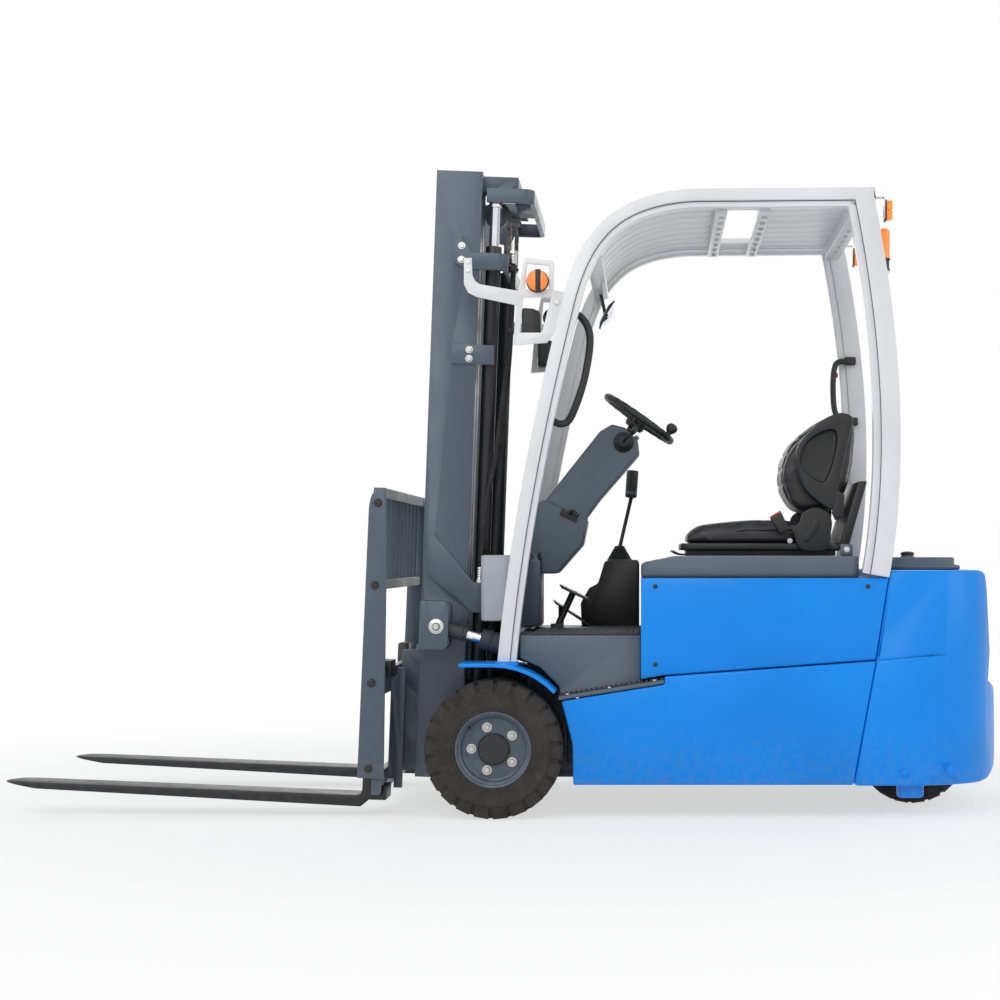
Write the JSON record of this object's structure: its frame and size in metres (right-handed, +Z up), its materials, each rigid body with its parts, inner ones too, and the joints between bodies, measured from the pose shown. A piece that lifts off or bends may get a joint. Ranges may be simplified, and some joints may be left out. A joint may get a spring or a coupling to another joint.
{
  "type": "counterbalance forklift",
  "caption": "Electric three-wheel counterbalance forklift with tilting lift mast, hook-on forks, overhead guard, opening seat hood and twin steered rear wheels.",
  "frame": {"origin": "on the floor, under the middle of the truck's overall length and width, forks included", "axes": "+X forwards towards the forks, +Y to the driver's left, +Z up"},
  "size_m": [3.3362, 1.09, 2.1627],
  "materials": {
    "blue_paint": "gloss",
    "slate_paint": "semi-gloss",
    "white_paint": "semi-gloss",
    "black_paint": "satin",
    "dark_iron": "matte",
    "hood_plastic": "grained",
    "cowl_plastic": "grained",
    "black_plastic": "grained",
    "seat_vinyl": "grained",
    "tyre_rubber": "matte",
    "hose_rubber": "satin",
    "cylinder_chrome": "polished",
    "chain_steel": "oiled",
    "step_rubber": "matte",
    "amber_lens": "gloss",
    "mirror_glass": "polished"
  },
  "bodies": {
    "chassis": {"chassis_frame": "dark_iron", "drive_axle": "dark_iron", "battery": "black_paint", "deck": "step_rubber", "front_cowl": "cowl_plastic", "counterweight": "blue_paint", "rear_cover": "hood_plastic", "guard_roof": "white_paint", "beacon": "amber_lens", "grab_handle_front": "black_plastic", "grab_handle_rear": "black_plastic", "mirror": "mirror_glass", "steering_column": "hood_plastic", "lever_console": "black_plastic", "pedals": "black_paint", "side_panel_left": "blue_paint", "side_panel_right": "blue_paint", "side_skirt_left": "blue_paint", "side_skirt_right": "blue_paint", "fender_left": "blue_paint", "fender_right": "blue_paint", "guard_side_left": "white_paint", "guard_side_right": "white_paint", "lamp_bracket_left": "white_paint", "lamp_bracket_right": "white_paint", "rear_light_left": "amber_lens", "rear_light_right": "amber_lens"},
    "front_wheel_left": {"front_tyre_left": "tyre_rubber", "front_rim_left": "slate_paint"},
    "front_wheel_right": {"front_tyre_right": "tyre_rubber", "front_rim_right": "slate_paint"},
    "steer_unit": {"steer_yoke": "dark_iron"},
    "rear_wheels": {"rear_hub": "slate_paint", "rear_tyre_left": "tyre_rubber", "rear_tyre_right": "tyre_rubber"},
    "steering_wheel": {"steering_wheel": "black_plastic"},
    "hood": {"hood_lid": "hood_plastic", "seat_base": "black_plastic", "seat_cushion": "seat_vinyl", "seat_back": "seat_vinyl"},
    "outer_mast": {"outer_mast": "slate_paint", "lift_barrels": "black_paint", "mast_hoses": "hose_rubber"},
    "inner_mast": {"inner_mast": "slate_paint", "lift_rod_left": "cylinder_chrome", "lift_rod_right": "cylinder_chrome", "lift_chain_left": "chain_steel", "lift_chain_right": "chain_steel"},
    "carriage": {"carriage": "slate_paint", "load_backrest": "slate_paint"},
    "fork_left": {"fork_left": "black_paint"},
    "fork_right": {"fork_right": "black_paint"},
    "tilt_barrels": {"tilt_barrel_left": "dark_iron", "tilt_barrel_right": "dark_iron"},
    "tilt_rods": {"tilt_rod_left": "cylinder_chrome", "tilt_rod_right": "cylinder_chrome"}
  },
  "joints": [
    {"name": "front_wheel_left_spin", "type": "hinge", "parent": "chassis", "child": "front_wheel_left", "pos_m": [0.02519, 0.4525, 0.2285], "axis": [0, 1, 0], "continuous": true},
    {"name": "front_wheel_right_spin", "type": "hinge", "parent": "chassis", "child": "front_wheel_right", "pos_m": [0.02519, -0.4525, 0.2285], "axis": [0, 1, 0], "continuous": true},
    {"name": "rear_steer", "type": "hinge", "parent": "chassis", "child": "steer_unit", "pos_m": [-1.40181, 0, 0.44], "axis": [0, 0, 1], "range_deg": [-90, 90]},
    {"name": "rear_wheels_spin", "type": "hinge", "parent": "steer_unit", "child": "rear_wheels", "pos_m": [-1.40181, 0, 0.19], "axis": [0, 1, 0], "continuous": true},
    {"name": "steering_wheel_turn", "type": "hinge", "parent": "chassis", "child": "steering_wheel", "pos_m": [-0.44881, 0, 1.349], "axis": [-0.5736, 0, 0.8192], "continuous": true},
    {"name": "hood_open", "type": "hinge", "parent": "chassis", "child": "hood", "pos_m": [-1.18081, 0, 0.85], "axis": [0, -1, 0], "range_deg": [0, 50]},
    {"name": "mast_tilt", "type": "hinge", "parent": "chassis", "child": "outer_mast", "pos_m": [0.11019, 0, 0.185], "axis": [0, 1, 0], "range_deg": [-3.9, 7.1]},
    {"name": "mast_lift", "type": "slide", "parent": "outer_mast", "child": "inner_mast", "axis": [-0.0366, 0, 0.9993], "range_m": [0, 1.5]},
    {"name": "carriage_lift", "type": "slide", "parent": "inner_mast", "child": "carriage", "axis": [-0.0366, 0, 0.9993], "range_m": [0, 1.5], "deforming": ["lift_chain_left", "lift_chain_right"]},
    {"name": "fork_left_shift", "type": "slide", "parent": "carriage", "child": "fork_left", "axis": [0, 1, 0], "range_m": [-0.29, 0.07]},
    {"name": "fork_right_shift", "type": "slide", "parent": "carriage", "child": "fork_right", "axis": [0, 1, 0], "range_m": [-0.07, 0.29]},
    {"name": "tilt_barrel_swing", "type": "hinge", "parent": "chassis", "child": "tilt_barrels", "pos_m": [-0.14481, 0, 0.523], "axis": [0, 1, 0], "range_deg": [-2.4, 4.3]},
    {"name": "tilt_rod_stroke", "type": "slide", "parent": "tilt_barrels", "child": "tilt_rods", "axis": [0.9609, 0, 0.2768], "range_m": [-0.0275, 0.0495]}
  ],
  "couplings": [
    {"joint": "carriage_lift", "follows": "mast_lift", "ratio": 1},
    {"joint": "tilt_barrel_swing", "follows": "mast_tilt", "ratio": 0.595},
    {"joint": "tilt_rod_stroke", "follows": "mast_tilt", "m_per_rad": 0.393}
  ]
}
